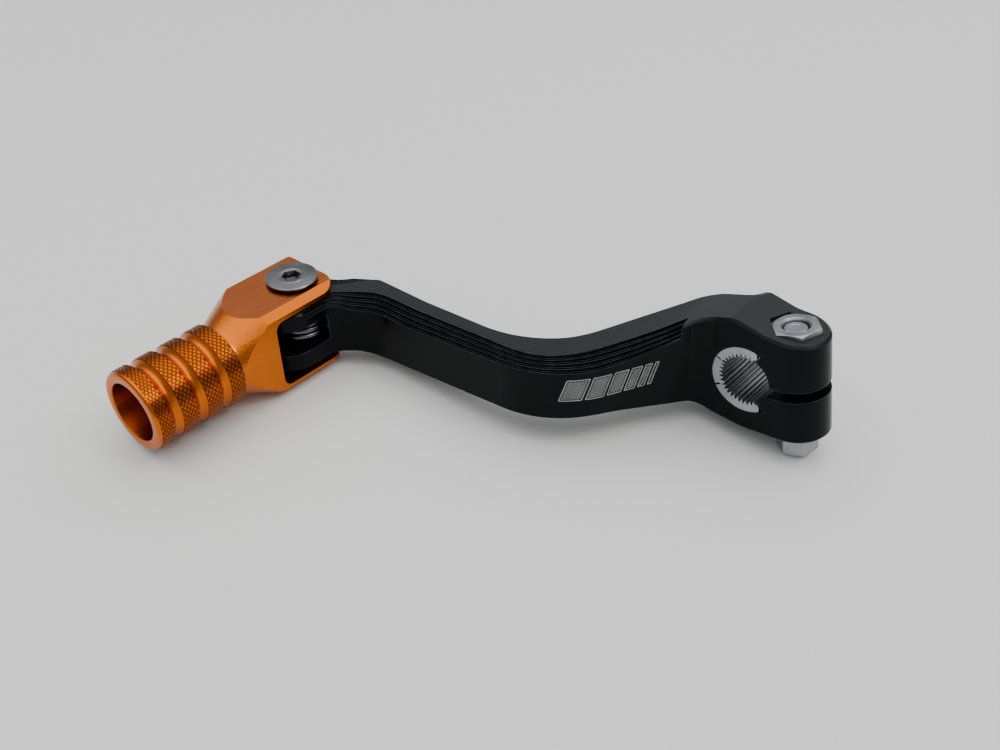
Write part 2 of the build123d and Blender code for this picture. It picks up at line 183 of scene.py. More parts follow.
class Surface:
    """A Principled material with short calls for the nodes that vary it."""

    def __init__(self, name, colour, metallic, roughness, specular=0.5):
        self.material = bpy.data.materials.new(name)
        self.material.use_nodes = True
        self.nodes = self.material.node_tree.nodes
        self.links = self.material.node_tree.links
        self.shader = self.nodes["Principled BSDF"]
        self.shader.inputs["Base Color"].default_value = (*colour, 1)
        self.shader.inputs["Metallic"].default_value = metallic
        self.shader.inputs["Roughness"].default_value = roughness
        self.shader.inputs["Specular IOR Level"].default_value = specular
        self.place = self.nodes.new("ShaderNodeTexCoord").outputs["Object"]
        self.material.diffuse_color = (*colour, 1)

    def _feed(self, socket, value):
        if isinstance(value, bpy.types.NodeSocket):
            self.links.new(value, socket)
        else:
            socket.default_value = value

    def math(self, operation, *values):
        node = self.nodes.new("ShaderNodeMath")
        node.operation = operation
        for socket, value in zip(node.inputs, values):
            self._feed(socket, value)
        return node.outputs[0]

    def vector(self, operation, *values, scale=None):
        node = self.nodes.new("ShaderNodeVectorMath")
        node.operation = operation
        for socket, value in zip(node.inputs, values):
            self._feed(socket, value)
        if scale is not None:
            self._feed(node.inputs["Scale"], scale)
        return node.outputs["Value" if operation in ("DOT_PRODUCT", "LENGTH") else "Vector"]

    def stretched(self, factors):
        return self.vector("MULTIPLY", self.place, factors)

    def noise(self, where, scale, detail=3.0, roughness=0.5):
        node = self.nodes.new("ShaderNodeTexNoise")
        self._feed(node.inputs["Vector"], where)
        node.inputs["Scale"].default_value = scale
        node.inputs["Detail"].default_value = detail
        node.inputs["Roughness"].default_value = roughness
        return node.outputs["Fac"]

    def facing(self, direction, low, high):
        """0 to 1 as the surface turns towards a direction of the model."""
        normal = self.nodes.new("ShaderNodeNewGeometry").outputs["Normal"]
        towards = self.vector("DOT_PRODUCT", normal, direction)
        return self.ramp(towards, low, high)

    def ramp(self, value, low, high, new_low=0.0, new_high=1.0):
        node = self.nodes.new("ShaderNodeMapRange")
        self._feed(node.inputs["Value"], value)
        limits = (("From Min", low), ("From Max", high), ("To Min", new_low), ("To Max", new_high))
        for name, number in limits:
            node.inputs[name].default_value = number
        return node.outputs["Result"]

    def mix(self, share, first, second):
        node = self.nodes.new("ShaderNodeMix")
        node.data_type = "RGBA"
        self._feed(node.inputs["Factor"], share)
        for socket, colour in (("A", first), ("B", second)):
            slot = [s for s in node.inputs if s.name == socket and s.type == "RGBA"][0]
            self._feed(slot, colour if isinstance(colour, bpy.types.NodeSocket) else (*colour, 1))
        return [s for s in node.outputs if s.type == "RGBA"][0]

    def set(self, name, socket):
        self.links.new(socket, self.shader.inputs[name])

    def bump(self, heights, edge=0.0):
        """Each of heights is (height socket, depth in metres, strength).
        With an edge, the shading of corners is rounded by that radius."""
        normal = None
        if edge:
            bevel = self.nodes.new("ShaderNodeBevel")
            bevel.samples = 6
            bevel.inputs["Radius"].default_value = edge
            normal = bevel.outputs["Normal"]
        for height, depth, strength in heights:
            node = self.nodes.new("ShaderNodeBump")
            node.inputs["Distance"].default_value = depth
            node.inputs["Strength"].default_value = strength
            self.links.new(height, node.inputs["Height"])
            if normal is not None:
                self.links.new(normal, node.inputs["Normal"])
            normal = node.outputs["Normal"]
        self.set("Normal", normal)

    def glint_and_wear_edges(self, radius, patches):
        """0 to 1 on sharp edges, where the rounded normal leaves the true one, in patches: a painted glint that
        also reads as wear.
        """
        bevel = self.nodes.new("ShaderNodeBevel")
        bevel.samples = 8
        bevel.inputs["Radius"].default_value = radius
        true_normal = self.nodes.new("ShaderNodeNewGeometry").outputs["Normal"]
        agreement = self.vector("DOT_PRODUCT", bevel.outputs["Normal"], true_normal)
        patchy = self.ramp(self.noise(self.place, patches, 3), 0.35, 0.65, 0.3, 1.0)
        return self.math("MULTIPLY", self.ramp(agreement, 0.97, 0.85), patchy)

    def waves(self, distance, pitch):
        """Rounded tool marks: 0 to 1 and back once per pitch of distance."""
        turns = self.math("MULTIPLY", distance, 2 * pi / pitch)
        return self.math("MULTIPLY_ADD", self.math("SINE", turns), 0.5, 0.5)


def corner_arc(before, corner, after, radius, pieces):
    """Points along the rounding of a corner in plan."""
    a = (Vector(before) - Vector(corner)).normalized()
    b = (Vector(after) - Vector(corner)).normalized()
    half = a.angle(b) / 2
    centre = Vector(corner) + (a + b).normalized() * radius / sin(half)
    first = Vector(corner) + a * radius / tan(half) - centre
    last = Vector(corner) + b * radius / tan(half) - centre
    turn = first.angle_signed(last)
    points = []
    for step in range(pieces + 1):
        angle = -turn * step / pieces
        points.append(centre + Matrix.Rotation(angle, 2) @ first)
    return points


# The arm's two edges in plan, in mm: corners, and the rounding of each corner between the ends
FAR_CORNERS = [
    (-105.9, -51.6), (-92.8, -44.1), (-87, -35.4), (-38.8, -32.4), (-19.2, 7.65), (-2, 24),
]
FAR_RADII = [5, 6, 24, 10]
NEAR_CORNERS = [
    (-88.1, -67.6), (-88.1, -51.6), (-79.8, -45.1), (-28.9, -41.1), (-11.7, -7.65), (10, -7.65),
]
NEAR_RADII = [5, 9, 24.5, 5]
CORNER_PIECES = 4
STEPS_WIDTH = 3.0 * MM         # the stepped strip along each edge
TOOL_PITCH = 0.8 * MM
LAND_LOW = 3.0 * MM            # the milled lands on top are all above this
CLAMP_LAND_START = -16.0 * MM
MARKS_FADE = (-34 * MM, -22 * MM)
MARK_DEPTH = 0.05 * MM
GRAIN_DEPTH = 0.004 * MM
ANODISED = (0.002, 0.0025, 0.003)
PLAIN_BLACKS = ((0.0012, 0.0015, 0.002), (0.0022, 0.0028, 0.0036))
# lighter blacks for the up-facing milled lands: painted top light over their real tool marks
LIT_LAND_BLACKS = ((0.008, 0.0095, 0.010), (0.036, 0.041, 0.042))
# light grey for sharp edges: painted edge glints, in patches like wear
GLINT_AND_WEAR_GREY = (0.14, 0.145, 0.15)


def edge_path(corners, radii):
    """An edge of the arm in plan: straight runs with rounded corners."""
    corners = [Vector(c) * MM for c in corners]
    points = [corners[0]]
    for number, radius in enumerate(radii, start=1):
        before, corner, after = corners[number - 1:number + 2]
        points += corner_arc(before, corner, after, radius * MM, CORNER_PIECES)
    return points + [corners[-1]]


def path_distance(surface, points):
    """Distance in plan from a line of straight runs."""
    flat = surface.stretched((1, 1, 0))
    nearest = None
    for start, end in zip(points, points[1:]):
        run = end - start
        along = run.normalized()
        offset = surface.vector("SUBTRACT", flat, (start.x, start.y, 0))
        travel = surface.vector("DOT_PRODUCT", offset, (along.x, along.y, 0))
        held = surface.math("MINIMUM", surface.math("MAXIMUM", travel, 0.0), run.length)
        foot = surface.vector("SCALE", (along.x, along.y, 0), scale=held)
        away = surface.vector("LENGTH", surface.vector("SUBTRACT", offset, foot))
        nearest = away if nearest is None else surface.math("MINIMUM", nearest, away)
    return nearest


def black_anodised():
    """Black anodised aluminium: tool marks on the lands on top, whose lighter blacks are painted top light;
    painted glints mixed with patchy wear on sharp edges.
    """
    surface = Surface("black_anodised", ANODISED, 0.0, 0.25, 0.09)
    height = surface.vector("DOT_PRODUCT", surface.place, (0, 0, 1))
    along = surface.vector("DOT_PRODUCT", surface.place, (1, 0, 0))
    from_far_edge = path_distance(surface, edge_path(FAR_CORNERS, FAR_RADII))
    from_near_edge = path_distance(surface, edge_path(NEAR_CORNERS, NEAR_RADII))
    from_edge = surface.math("MINIMUM", from_far_edge, from_near_edge)
    on_land = surface.ramp(from_edge, STEPS_WIDTH - 0.15 * MM, STEPS_WIDTH + 0.05 * MM, 0.12, 1.0)
    on_clamp = surface.ramp(along, CLAMP_LAND_START, CLAMP_LAND_START + MM)
    above = surface.ramp(height, LAND_LOW, LAND_LOW + MM)
    upwards = surface.math("MULTIPLY", surface.facing((0, 0, 1), 0.55, 0.9), above)
    # up-facing lands above LAND_LOW get the lighter blacks: painted top light, striped by the tool marks
    lit_land_share = surface.math("MULTIPLY", upwards, surface.math("MAXIMUM", on_land, on_clamp))
    marks = surface.waves(from_far_edge, TOOL_PITCH)
    faded = surface.ramp(along, *MARKS_FADE, 1.0, 0.15)
    plain_end = surface.math("MULTIPLY_ADD", faded, -0.7, 0.7)
    lined = surface.math("MULTIPLY_ADD", marks, faded, plain_end)
    top_marks = surface.math("MULTIPLY", lined, lit_land_share)
    grain = surface.noise(surface.place, 2600, 2)
    cloud = surface.noise(surface.place, 60, 4)
    dull = surface.ramp(cloud, 0.3, 0.7, 0.0, 1.0)
    land = surface.mix(top_marks, *LIT_LAND_BLACKS)
    plain = surface.mix(dull, *PLAIN_BLACKS)
    colour = surface.mix(lit_land_share, plain, land)
    # sharp edges lightened in patches: painted edge glints mixed with wear
    edge_glint_and_wear = surface.glint_and_wear_edges(0.16 * MM, 420)
    surface.set("Base Color", surface.mix(edge_glint_and_wear, colour, GLINT_AND_WEAR_GREY))
    rough = surface.math("MULTIPLY_ADD", upwards, 0.1, surface.ramp(cloud, 0.3, 0.7, 0.18, 0.26))
    surface.set("Roughness", rough)
    surface.bump([(top_marks, MARK_DEPTH, 0.8), (grain, GRAIN_DEPTH, 0.25)], edge=0.3 * MM)
    return surface.material


DEEP_ORANGE = (0.55, 0.118, 0.009)
PALE_ORANGE = (0.62, 0.148, 0.012)
# paler orange for flat up-facing faces: painted top light
LIT_TOP_ORANGE = (0.54, 0.140, 0.036)
# dark orange deep in the knurl's valleys, between the two depths below: painted shade
VALLEY_SHADE_ORANGE = (0.17, 0.028, 0.001)
# dark orange inside the bore and the slot: painted shade
BORE_SHADE_ORANGE = (0.26, 0.04, 0.003)
KNURL_DARK, KNURL_LIGHT = 0.8 * KNURL_DEPTH, 0.25 * KNURL_DEPTH    # depths below the peaks
BORE_SHADE_EDGE = (TOE_BORE_R + 0.02 * MM, TOE_BORE_R + 0.12 * MM)
TURNING_DEPTH = 0.07 * MM


def orange_anodised(name, knurl=False):
    """Satin anodised aluminium, with painted shade in the bore. On the knurl the colour deepens in the valleys as
    painted shade.
    """
    surface = Surface(name, DEEP_ORANGE, 1.0, 0.3)
    cloud = surface.noise(surface.place, 90, 4)
    upwards = surface.facing((0, 0, 1), 0.97, 0.995)
    colour = surface.mix(surface.ramp(cloud, 0.3, 0.7), DEEP_ORANGE, PALE_ORANGE)
    across = surface.stretched((1, 0, 1))
    radius = surface.vector("LENGTH", surface.vector("SUBTRACT", across, (PIVOT.x, 0, PIVOT.z)))
    if knurl:
        # deeper into the knurl the colour darkens: painted shade in the valleys
        height = surface.ramp(radius, BARREL_R - KNURL_DARK, BARREL_R - KNURL_LIGHT)
        surface.set("Base Color", surface.mix(height, VALLEY_SHADE_ORANGE, colour))
    else:
        # inside the bore's radius the colour darkens: painted shade
        outside = surface.ramp(radius, *BORE_SHADE_EDGE)
        # flat up-facing faces turn paler: painted top light
        shell = surface.mix(upwards, colour, LIT_TOP_ORANGE)
        surface.set("Base Color", surface.mix(outside, BORE_SHADE_ORANGE, shell))
    lines = surface.noise(surface.stretched((1, 0.02, 1)), 2400, 2)
    grain = surface.noise(surface.place, 3000, 2)
    surface.set("Roughness", surface.ramp(cloud, 0.3, 0.7, 0.22, 0.30))
    surface.bump([(lines, TURNING_DEPTH, 0.8), (grain, GRAIN_DEPTH, 0.4)], edge=0.05 * MM)
    return surface.material


METAL_GRAIN = 2500
METAL_GRAIN_DEPTH = 0.006 * MM
RING_PITCH = 0.22 * MM
RING_DEPTH = 0.008 * MM


def steel(name, colour, roughness, centre=None):
    """Bright steel. With a centre, fine turning rings run round it."""
    surface = Surface(name, colour, 1.0, roughness)
    cloud = surface.noise(surface.place, 180, 4)
    darker = tuple(0.72 * c for c in colour)
    surface.set("Base Color", surface.mix(surface.ramp(cloud, 0.35, 0.7), darker, colour))
    surface.set("Roughness", surface.ramp(cloud, 0.3, 0.7, roughness - 0.05, roughness + 0.08))
    heights = [(surface.noise(surface.place, METAL_GRAIN, 2), METAL_GRAIN_DEPTH, 0.4)]
    if centre is not None:
        flat = surface.vector("SUBTRACT", surface.stretched((1, 1, 0)), (*centre, 0))
        rings = surface.waves(surface.vector("LENGTH", flat), RING_PITCH)
        heights.append((rings, RING_DEPTH, 0.5))
    surface.bump(heights, edge=0.12 * MM)
    return surface.material


def plain_metal(name, colour, roughness, metallic=1.0):
    """A matt surface with fine grain and faint clouds."""
    surface = Surface(name, colour, metallic, roughness)
    cloud = surface.noise(surface.place, 400, 4)
    darker = tuple(0.7 * c for c in colour)
    surface.set("Base Color", surface.mix(surface.ramp(cloud, 0.35, 0.7), darker, colour))
    surface.set("Roughness", surface.ramp(cloud, 0.3, 0.7, roughness - 0.05, roughness + 0.1))
    surface.bump([(surface.noise(surface.place, METAL_GRAIN, 2), METAL_GRAIN_DEPTH, 0.5)])
    return surface.material


BLACK = black_anodised()
ORANGE = orange_anodised("orange_anodised")
KNURL_SHADED = orange_anodised("orange_knurled_valley_shade", knurl=True)
ZINC = steel("zinc", (0.40, 0.41, 0.43), 0.40)
TURNED = steel("turned_steel", (0.26, 0.255, 0.26), 0.22, (PIVOT.x, PIVOT.y))
BROACHED = steel("broached_steel", (0.42, 0.43, 0.44), 0.34)
SPRING = plain_metal("spring_steel", (0.16, 0.16, 0.17), 0.2)
BRONZE = plain_metal("bronze", (0.50, 0.34, 0.16), 0.4)
POLYMER = plain_metal("black_polymer", (0.012, 0.012, 0.012), 0.5, 0.0)
ETCH = plain_metal("etched", (0.34, 0.35, 0.35), 0.5, 0.0)


# ---------------------------------------------------------------- toe tip

MERGE_DISTANCE = 0.002 * MM
COPLANAR = radians(0.3)
SEAM_OVERLAP = 0.2 * MM
FLAT_AREA = 45 * MM * MM
FLAT_TURN = radians(1.5)


def knurled(row):
    """Radius of a lattice row of the knurl: peaks and valleys in turn."""
    def radius(column):
        return BARREL_R - (KNURL_DEPTH if (column + row) % 2 == 0 else 0)
    return radius


def barrel_rows():
    """From the cut at the neck to the barrel's end and back into its bore.
    Heights are from the barrel's end."""
    land = BARREL_R - LAND_SINK
    neck = NECK_R - NECK_GAP
    neck_start = BAND_WIDTH + BAND_PITCH * (BAND_COUNT - 1)
    rows = [(0, NECK_CUT), (neck, NECK_CUT), (neck, neck_start + 0.05 * MM)]
    for band in reversed(range(BAND_COUNT)):
        low = BAND_PITCH * band
        high = low + BAND_WIDTH
        rows.append((land - BAND_EDGE, high))
        first_row = high - KNURL_INSET
        last_row = low + (KNURL_INSET if band else RIM_ROUND + RIM_LAND)
        rows.append((land, high - LAND_LIP))
        for row in range(BAND_ROWS + 1):
            rows.append((knurled(row), first_row + (last_row - first_row) * row / BAND_ROWS))
        if band:
            rows.append((land, low + LAND_LIP))
            rows.append((land - BAND_EDGE, low))
            gap = BAND_PITCH - BAND_WIDTH
            for row in range(1, GROOVE_ROWS):
                turn = row / GROOVE_ROWS
                rows.append((land - BAND_EDGE - GROOVE_DEPTH * sin(pi * turn), low - gap * turn))
    rim = land - RIM_ROUND
    for step in range(RIM_STEPS + 1):
        turn = radians(90) * step / RIM_STEPS
        rows.append((rim + RIM_ROUND * cos(turn), RIM_ROUND * (1 - sin(turn))))
    rows += [
        (TOE_BORE_R + BORE_CHAMFER, 0),
        (TOE_BORE_R + BORE_CHAMFER_SMALL, BORE_CHAMFER_SMALL),
        (TOE_BORE_R, BORE_CHAMFER),
        (TOE_BORE_R, TOE_BORE_DEPTH - BORE_FLOOR_EDGE),
        (TOE_BORE_R - BORE_FLOOR_EDGE, TOE_BORE_DEPTH),
        (0, TOE_BORE_DEPTH + BORE_FLOOR_CONE),
    ]
    return rows


def keep_flats_flat(mesh):
    """Marks the borders of large flat faces as sharp, so that smooth shading doesn't bend them."""
    around = {}
    for face in mesh.polygons:
        for key in face.edge_keys:
            around.setdefault(key, []).append(face)
    for edge in mesh.edges:
        faces = around.get(tuple(sorted(edge.vertices)), [])
        if len(faces) == 2 and max(face.area for face in faces) > FLAT_AREA:
            if faces[0].normal.dot(faces[1].normal) < cos(FLAT_TURN):
                edge.use_edge_sharp = True


def colour_knurl(mesh, end_y):
    """Gives the faces of the knurled bands the material with painted shade in the valleys."""
    mesh.materials.append(KNURL_SHADED)
    for face in mesh.polygons:
        points = [mesh.vertices[v].co for v in face.vertices]
        radii = [hypot(p.x - PIVOT.x, p.z - PIVOT.z) for p in points]
        on_barrel = max(p.y for p in points) < end_y + NECK_CUT - 0.3 * MM
        behind_rim = min(p.y for p in points) > end_y + RIM_ROUND - 0.01 * MM
        if on_barrel and behind_rim and min(radii) > BARREL_R - KNURL_DEPTH - 0.05 * MM:
            face.material_index = 1


def make_toe_tip():
    """The clevis comes from the CAD solid, cut off at the neck. The barrel is turned and knurled."""
    node = frame["nodes"]["toe_tip"]
    end_y = TIP_BOX[0].y

    def build(work):
        work.from_mesh(node.data)
        bmesh.ops.remove_doubles(work, verts=work.verts, dist=MERGE_DISTANCE)
        bmesh.ops.dissolve_limit(work, angle_limit=COPLANAR, verts=work.verts, edges=work.edges)
        everything = work.verts[:] + work.edges[:] + work.faces[:]
        cut = bmesh.ops.bisect_plane(
            work, geom=everything, plane_co=(0, end_y + NECK_CUT - SEAM_OVERLAP, 0),
            plane_no=(0, -1, 0), clear_outer=True,
        )
        rim = [e for e in cut["geom_cut"] if isinstance(e, bmesh.types.BMEdge)]
        bmesh.ops.contextual_create(work, geom=rim)
        place = Matrix.Translation((PIVOT.x, end_y, PIVOT.z)) @ Matrix.Rotation(-pi / 2, 4, "X")
        turned(work, barrel_rows(), 2 * KNURL_CELLS, place, diamonds=True)

    piece = object_from("toe_tip_knurled", build)
    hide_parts("toe_tip")
    finish_piece(piece, "tip", ORANGE)
    keep_flats_flat(piece.data)
    colour_knurl(piece.data, end_y)


# ---------------------------------------------------------------- hinge pin and spring

PIN_COLUMNS = 96
PIN_SHANK_R = 3.0 * MM
PIN_END_CHAMFER = 0.4 * MM
PIN_NECK_R = 4.6 * MM
PIN_NECK_HEIGHT = 0.6 * MM
PIN_STEP_SHARE = 0.56          # of the head's radius, where its cone ends
PIN_SOCKET_ACROSS = 4.0 * MM
PIN_SOCKET_RIM = (2.75 * MM, 2.6 * MM)
PIN_SOCKET_DEPTH = 2.0 * MM
PIN_SOCKET_CONE = 2.6 * MM


def make_pin():
    """Button head with a shallow cone, a fine step round the hexagon socket and a slim neck."""
    radius = (PIN_BOX[1].x - PIN_BOX[0].x) / 2
    top = PIN_BOX[1].z - 0.01 * MM
    bottom = PIN_BOX[0].z
    plate = TIP_BOX[1].z
    under = plate + PIN_NECK_HEIGHT
    step_r = radius * PIN_STEP_SHARE
    socket = hexagon(PIN_SOCKET_ACROSS, PIN_COLUMNS)

    def build(work):
        rows = [
            (0, bottom), (PIN_SHANK_R - PIN_END_CHAMFER, bottom),
            (PIN_SHANK_R, bottom + PIN_END_CHAMFER), (PIN_SHANK_R, plate - 0.05 * MM),
            (PIN_NECK_R, plate + 0.01 * MM), (PIN_NECK_R, under), (radius - 0.25 * MM, under),
            (radius - 0.02 * MM, under + 0.16 * MM), (radius - 0.02 * MM, under + 0.46 * MM),
            (radius - 0.2 * MM, under + 0.64 * MM), (step_r + 0.1 * MM, top - 0.11 * MM),
            (step_r, top), (PIN_SOCKET_RIM[0], top), (PIN_SOCKET_RIM[1], top - 0.06 * MM),
            (lambda c: socket(c) + 0.08 * MM, top - 0.12 * MM), (socket, top - 0.3 * MM),
            (socket, top - PIN_SOCKET_DEPTH), (0, top - PIN_SOCKET_CONE),
        ]
        turned(work, rows, PIN_COLUMNS, Matrix.Translation((PIVOT.x, PIVOT.y, 0)))

    piece = object_from("pivot_pin", build)
    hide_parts("pivot_bolt")
    finish_piece(piece, "tip", TURNED, sharp=5)


WIRE_R = 0.72 * MM
COIL_R = 6.2 * MM
COIL_LOW = -1.75 * MM
COIL_HIGH = 3.3 * MM
COIL_TURNS = 3 + 55 / 360      # ends where the wire heads along LEG_HEADING
COIL_STEPS = 48                # per turn
LEG_HEADING = radians(35)
TIP_LEG = 15.9 * MM
ARM_LEG = 10.5 * MM
WIRE_SIDES = 14


def spring_line():
    """Centre line from the hinge axis: leg into the tip, left-hand coil upwards, leg into the arm."""
    points = [Vector((-COIL_R, -TIP_LEG * share, COIL_LOW)) for share in (1.0, 0.66, 0.33, 0.1)]
    steps = int(COIL_TURNS * COIL_STEPS)
    for step in range(steps + 1):
        share = step / steps
        angle = pi - 2 * pi * COIL_TURNS * share
        height = COIL_LOW + (COIL_HIGH - COIL_LOW) * share
        points.append(Vector((COIL_R * cos(angle), COIL_R * sin(angle), height)))
    start = points[-1]
    for share in (0.1, 0.4, 0.7, 1.0):
        points.append(start + ARM_LEG * share * Vector((cos(LEG_HEADING), sin(LEG_HEADING), 0)))
    return points


def sweep(work, points, radius, sides):
    """Round wire along a line, with flat ends."""
    rings = []
    for number, point in enumerate(points):
        before, after = points[max(number - 1, 0)], points[min(number + 1, len(points) - 1)]
        along = (after - before).normalized()
        across = along.cross(Vector((0, 0, 1))).normalized()
        other = across.cross(along)
        ring = []
        for side in range(sides):
            angle = 2 * pi * side / sides
            ring.append(work.verts.new(point + radius * (across * cos(angle) + other * sin(angle))))
        rings.append(ring)
    for lower, upper in zip(rings, rings[1:]):
        for side in range(sides):
            following = (side + 1) % sides
            work.faces.new((lower[side], lower[following], upper[following], upper[side]))
    work.faces.new(rings[0][::-1])
    work.faces.new(rings[-1])


def make_spring():
    """The wire coils about the hinge axis between its two legs; it stays as built and is put on no body."""
    base = Vector((PIVOT.x, PIVOT.y, 0))

    def build(work):
        sweep(work, [base + point for point in spring_line()], WIRE_R, WIRE_SIDES)

    piece = object_from("spring_wire", build)
    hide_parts("torsion_spring")
    finish_piece(piece, None, SPRING, sharp=50)
    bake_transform(piece)


# ---------------------------------------------------------------- clamp hardware

HEX_COLUMNS = 96
HEAD_TURN = radians(17)
NUT_TURN = radians(12)
THREAD_PITCH = 1.0 * MM
THREAD_DEPTH = 0.3 * MM
THREAD_ROWS = 8                # per pitch
THREAD_START = -4.0 * MM
CHAMFER_SLOPE = 0.42
BOLT_R = 2.98 * MM
BOLT_SEAT = -13.8 * MM
BOLT_END = 12.0 * MM
BOLT_HEAD_HEIGHT = 6.0 * MM
BOLT_HEAD_ACROSS = 8.3 * MM
NUT_SEAT = 8.1 * MM
NUT_TOP = 12.63 * MM
NUT_ACROSS = 10.0 * MM
NUT_BORE_R = 3.05 * MM
SEAM_MERGE = 0.001 * MM


def chamfer_rows(across, flat_r, height, direction):
    """A hexagon's chamfered end: the flat's circle, then the corners falling away along it."""
    outline = hexagon(across, HEX_COLUMNS)
    return [
        (flat_r, height),
        (outline, lambda c: height - direction * (outline(c) - flat_r) * CHAMFER_SLOPE),
    ]


def thread_radius(height):
    """Radius of the thread at a height, as a function of the column."""
    def radius(column):
        turn = (height / THREAD_PITCH - column / HEX_COLUMNS) % 1
        return BOLT_R - THREAD_DEPTH * (1 - abs(2 * turn - 1))
    return radius


def make_clamp_bolt():
    """Hexagon head below with a chamfered end and a shallow dish, thread towards the nut."""
    head_bottom = BOLT_SEAT - BOLT_HEAD_HEIGHT
    outline = hexagon(BOLT_HEAD_ACROSS, HEX_COLUMNS)
    flat_r = BOLT_HEAD_ACROSS / 2

    def build(work):
        rows = [
            (0, head_bottom + 0.3 * MM), (2.2 * MM, head_bottom + 0.3 * MM),
            (2.7 * MM, head_bottom + 0.02 * MM),
        ]
        rows += chamfer_rows(BOLT_HEAD_ACROSS, flat_r - 0.5 * MM, head_bottom + 0.01 * MM, -1)
        rows += [
            (outline, BOLT_SEAT - 0.15 * MM), (flat_r - 0.2 * MM, BOLT_SEAT),
            (BOLT_R, BOLT_SEAT), (BOLT_R, THREAD_START),
        ]
        steps = int((BOLT_END - 0.5 * MM - THREAD_START) / THREAD_PITCH * THREAD_ROWS)
        for step in range(steps):
            height = THREAD_START + THREAD_PITCH * step / THREAD_ROWS
            rows.append((thread_radius(height), height))
        rows += [
            (2.5 * MM, BOLT_END - 0.1 * MM), (2.3 * MM, BOLT_END), (1.5 * MM, BOLT_END),
            (1.4 * MM, BOLT_END - 0.08 * MM), (0, BOLT_END - 0.08 * MM),
        ]
        turned(work, rows, HEX_COLUMNS, BOLT_AXIS @ Matrix.Rotation(HEAD_TURN, 4, "Z"))

    piece = object_from("pinch_bolt", build)
    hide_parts("clamp_bolt")
    finish_piece(piece, "arm", ZINC, sharp=12)


def make_clamp_nut():
    """Hexagon nut with chamfered corners and a countersunk bore."""
    outline = hexagon(NUT_ACROSS, HEX_COLUMNS)
    flat_r = NUT_ACROSS / 2
    face = NUT_TOP - 0.01 * MM

    def build(work):
        rows = [(NUT_BORE_R, NUT_SEAT), (flat_r - 0.25 * MM, NUT_SEAT), (outline, NUT_SEAT + 0.25 * MM)]
        rows += chamfer_rows(NUT_ACROSS, flat_r - 0.12 * MM, face, 1)[::-1]
        rows += [
            (3.4 * MM, face), (3.3 * MM, NUT_TOP - 0.1 * MM),
            (NUT_BORE_R, NUT_TOP - 0.45 * MM), (NUT_BORE_R, NUT_SEAT),
        ]
        turned(work, rows, HEX_COLUMNS, BOLT_AXIS @ Matrix.Rotation(NUT_TURN, 4, "Z"))
        bmesh.ops.remove_doubles(work, verts=work.verts, dist=SEAM_MERGE)

    piece = object_from("pinch_nut", build)
    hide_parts("clamp_nut")
    finish_piece(piece, "arm", ZINC, sharp=12)


TOOTH_COUNT = 36
TOOTH_TIP_R = 5.7 * MM
TOOTH_ROOT_R = 6.55 * MM
TOOTH_PROFILE = [                # share of the pitch, radius
    (0.0, TOOTH_TIP_R), (0.12, TOOTH_TIP_R), (0.44, TOOTH_ROOT_R),
    (0.56, TOOTH_ROOT_R), (0.88, TOOTH_TIP_R),
]
INSERT_R = 8.37 * MM
INSERT_GAP = 62.0              # half of the opening, degrees
INSERT_END_MARGIN = 0.4         # no tooth station nearer to an end than this, degrees
INSERT_CORNER = 1.1 * MM
INSERT_CHAMFER = 0.18 * MM
RIM_CHAMFER_SHARE = 0.6
NICK_ANGLES = (146, 201)
NICK_DEPTH = 1.25 * MM
NICK_WIDTH = 0.42 * MM


def polar(radius, angle):
    return Vector((radius * cos(radians(angle)), 0, radius * sin(radians(angle))))


def insert_section():
    """Cross-section of the liner as (angle, bore radius, outer radius), from one end to the other."""
    pitch = 360 / TOOTH_COUNT
    start, end = INSERT_GAP, 360 - INSERT_GAP
    stations = []
    for tooth in range(TOOTH_COUNT):
        stations += [((tooth + share) * pitch, radius) for share, radius in TOOTH_PROFILE]
    first, last = start + INSERT_END_MARGIN, end - INSERT_END_MARGIN
    stations = [(angle, radius) for angle, radius in stations if first < angle < last]
    stations = [(start, stations[0][1])] + stations + [(end, stations[-1][1])]
    corner = degrees(INSERT_CORNER / INSERT_R)
    section = []
    for angle, radius in stations:
        from_end = min(angle - start, end - angle) / corner
        outer = INSERT_R
        if from_end < 1:
            outer -= INSERT_CORNER * (1 - sqrt(1 - (1 - from_end) ** 2))
        section.append((angle, radius, outer))
    half = degrees(NICK_WIDTH / 2 / INSERT_R)
    for nick in NICK_ANGLES:
        nearest = min(stations, key=lambda station: abs(station[0] - nick))
        centre = nearest[0] + 0.16 * pitch
        floor = half * 0.9
        for offset, depth in ((-half, 0), (-floor, NICK_DEPTH), (floor, NICK_DEPTH), (half, 0)):
            section.append((centre + offset, nearest[1], INSERT_R - depth))
    return sorted(section)


